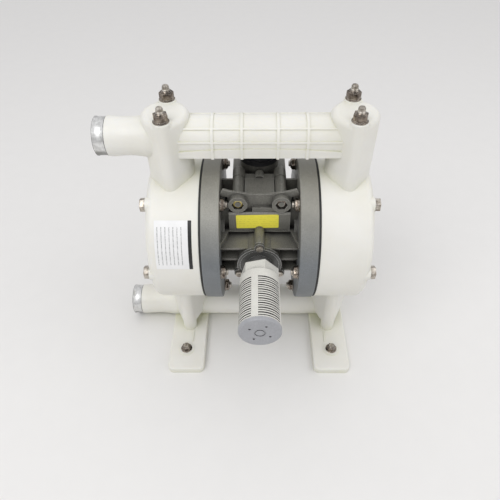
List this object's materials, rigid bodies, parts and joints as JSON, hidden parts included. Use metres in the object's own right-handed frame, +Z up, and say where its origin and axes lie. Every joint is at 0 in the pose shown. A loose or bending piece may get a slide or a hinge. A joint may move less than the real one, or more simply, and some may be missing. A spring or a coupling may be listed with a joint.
{
  "type": "air operated diaphragm pump",
  "caption": "Air operated double diaphragm pump in moulded plastic with ribbed centre casting, ball check valves, rear air valve and slotted exhaust silencer.",
  "frame": {"origin": "at floor level, midway between the two chambers and the two feet, below the chamber axis", "axes": "+X from the port side to the closed side along the chamber axis, -Y towards the silencer, +Z up"},
  "size_m": [0.3895, 0.34, 0.4299],
  "materials": {
    "housing_plastic": "natural moulded plastic, satin",
    "ring_metal": "cast, grey satin",
    "body_casting": "cast, dark grey, fine speckle",
    "fastener_steel": "bare, slightly stained",
    "band_steel": "bright, satin",
    "silencer_plastic": "light grey, satin",
    "cap_plastic": "black, satin",
    "rubber_black": "matte",
    "seat_plastic": "smooth",
    "ball_plastic": "smooth",
    "brass": "machined",
    "rod_steel": "ground",
    "filter_felt": "felted"
  },
  "bodies": {
    "housing": {"air_chamber_left": "ring_metal", "air_chamber_right": "ring_metal", "air_inlet_bushing": "brass", "center_body": "body_casting", "chamber_bolts_left": "fastener_steel", "chamber_bolts_right": "fastener_steel", "chamber_nuts_left": "fastener_steel", "chamber_nuts_right": "fastener_steel", "diaphragm_left": "rubber_black", "diaphragm_right": "rubber_black", "discharge_manifold": "housing_plastic", "discharge_nuts": "fastener_steel", "discharge_seat_left": "seat_plastic", "discharge_seat_right": "seat_plastic", "discharge_studs": "fastener_steel", "exhaust_flange": "body_casting", "exhaust_screws": "fastener_steel", "foot_bolts": "fastener_steel", "foot_left": "housing_plastic", "foot_nuts": "fastener_steel", "foot_right": "housing_plastic", "liquid_chamber_left": "housing_plastic", "liquid_chamber_right": "housing_plastic", "pilot_bushings": "brass", "port_band_discharge": "band_steel", "port_band_suction": "band_steel", "rod_bushings": "brass", "seat_seals": "rubber_black", "silencer_element": "filter_felt", "silencer_end_cap": "silencer_plastic", "silencer_shell": "silencer_plastic", "suction_bolts": "fastener_steel", "suction_manifold": "housing_plastic", "suction_seat_left": "seat_plastic", "suction_seat_right": "seat_plastic", "valve_body": "body_casting", "valve_cap_lower": "cap_plastic", "valve_cap_upper": "cap_plastic", "valve_gasket": "rubber_black", "valve_sleeve": "brass", "valve_tie_bolts": "fastener_steel", "valve_tie_nuts": "fastener_steel"},
    "rod_assembly": {"center_rod": "rod_steel", "inner_disc_left": "ring_metal", "inner_disc_right": "ring_metal", "outer_disc_left": "housing_plastic", "outer_disc_right": "housing_plastic"},
    "valve_spool": {"valve_spool": "rod_steel"},
    "pilot_rod": {"pilot_rod": "rod_steel"},
    "discharge_ball_left": {"discharge_ball_left": "ball_plastic"},
    "discharge_ball_right": {"discharge_ball_right": "ball_plastic"},
    "suction_ball_left": {"suction_ball_left": "ball_plastic"},
    "suction_ball_right": {"suction_ball_right": "ball_plastic"}
  },
  "joints": [
    {"name": "rod_slide", "type": "slide", "parent": "housing", "child": "rod_assembly", "axis": [1, 0, 0], "range_m": [-0.008, 0.008], "deforming": ["diaphragm_left", "diaphragm_right"]},
    {"name": "spool_slide", "type": "slide", "parent": "housing", "child": "valve_spool", "axis": [0, 0, 1], "range_m": [0, 0.016]},
    {"name": "pilot_slide", "type": "slide", "parent": "housing", "child": "pilot_rod", "axis": [1, 0, 0], "range_m": [-0.004, 0.004]},
    {"name": "discharge_ball_left_lift", "type": "slide", "parent": "housing", "child": "discharge_ball_left", "axis": [0, 0, 1], "range_m": [0, 0.008]},
    {"name": "discharge_ball_right_lift", "type": "slide", "parent": "housing", "child": "discharge_ball_right", "axis": [0, 0, 1], "range_m": [0, 0.008]},
    {"name": "suction_ball_left_lift", "type": "slide", "parent": "housing", "child": "suction_ball_left", "axis": [0, 0, 1], "range_m": [0, 0.008]},
    {"name": "suction_ball_right_lift", "type": "slide", "parent": "housing", "child": "suction_ball_right", "axis": [0, 0, 1], "range_m": [0, 0.008]}
  ]
}
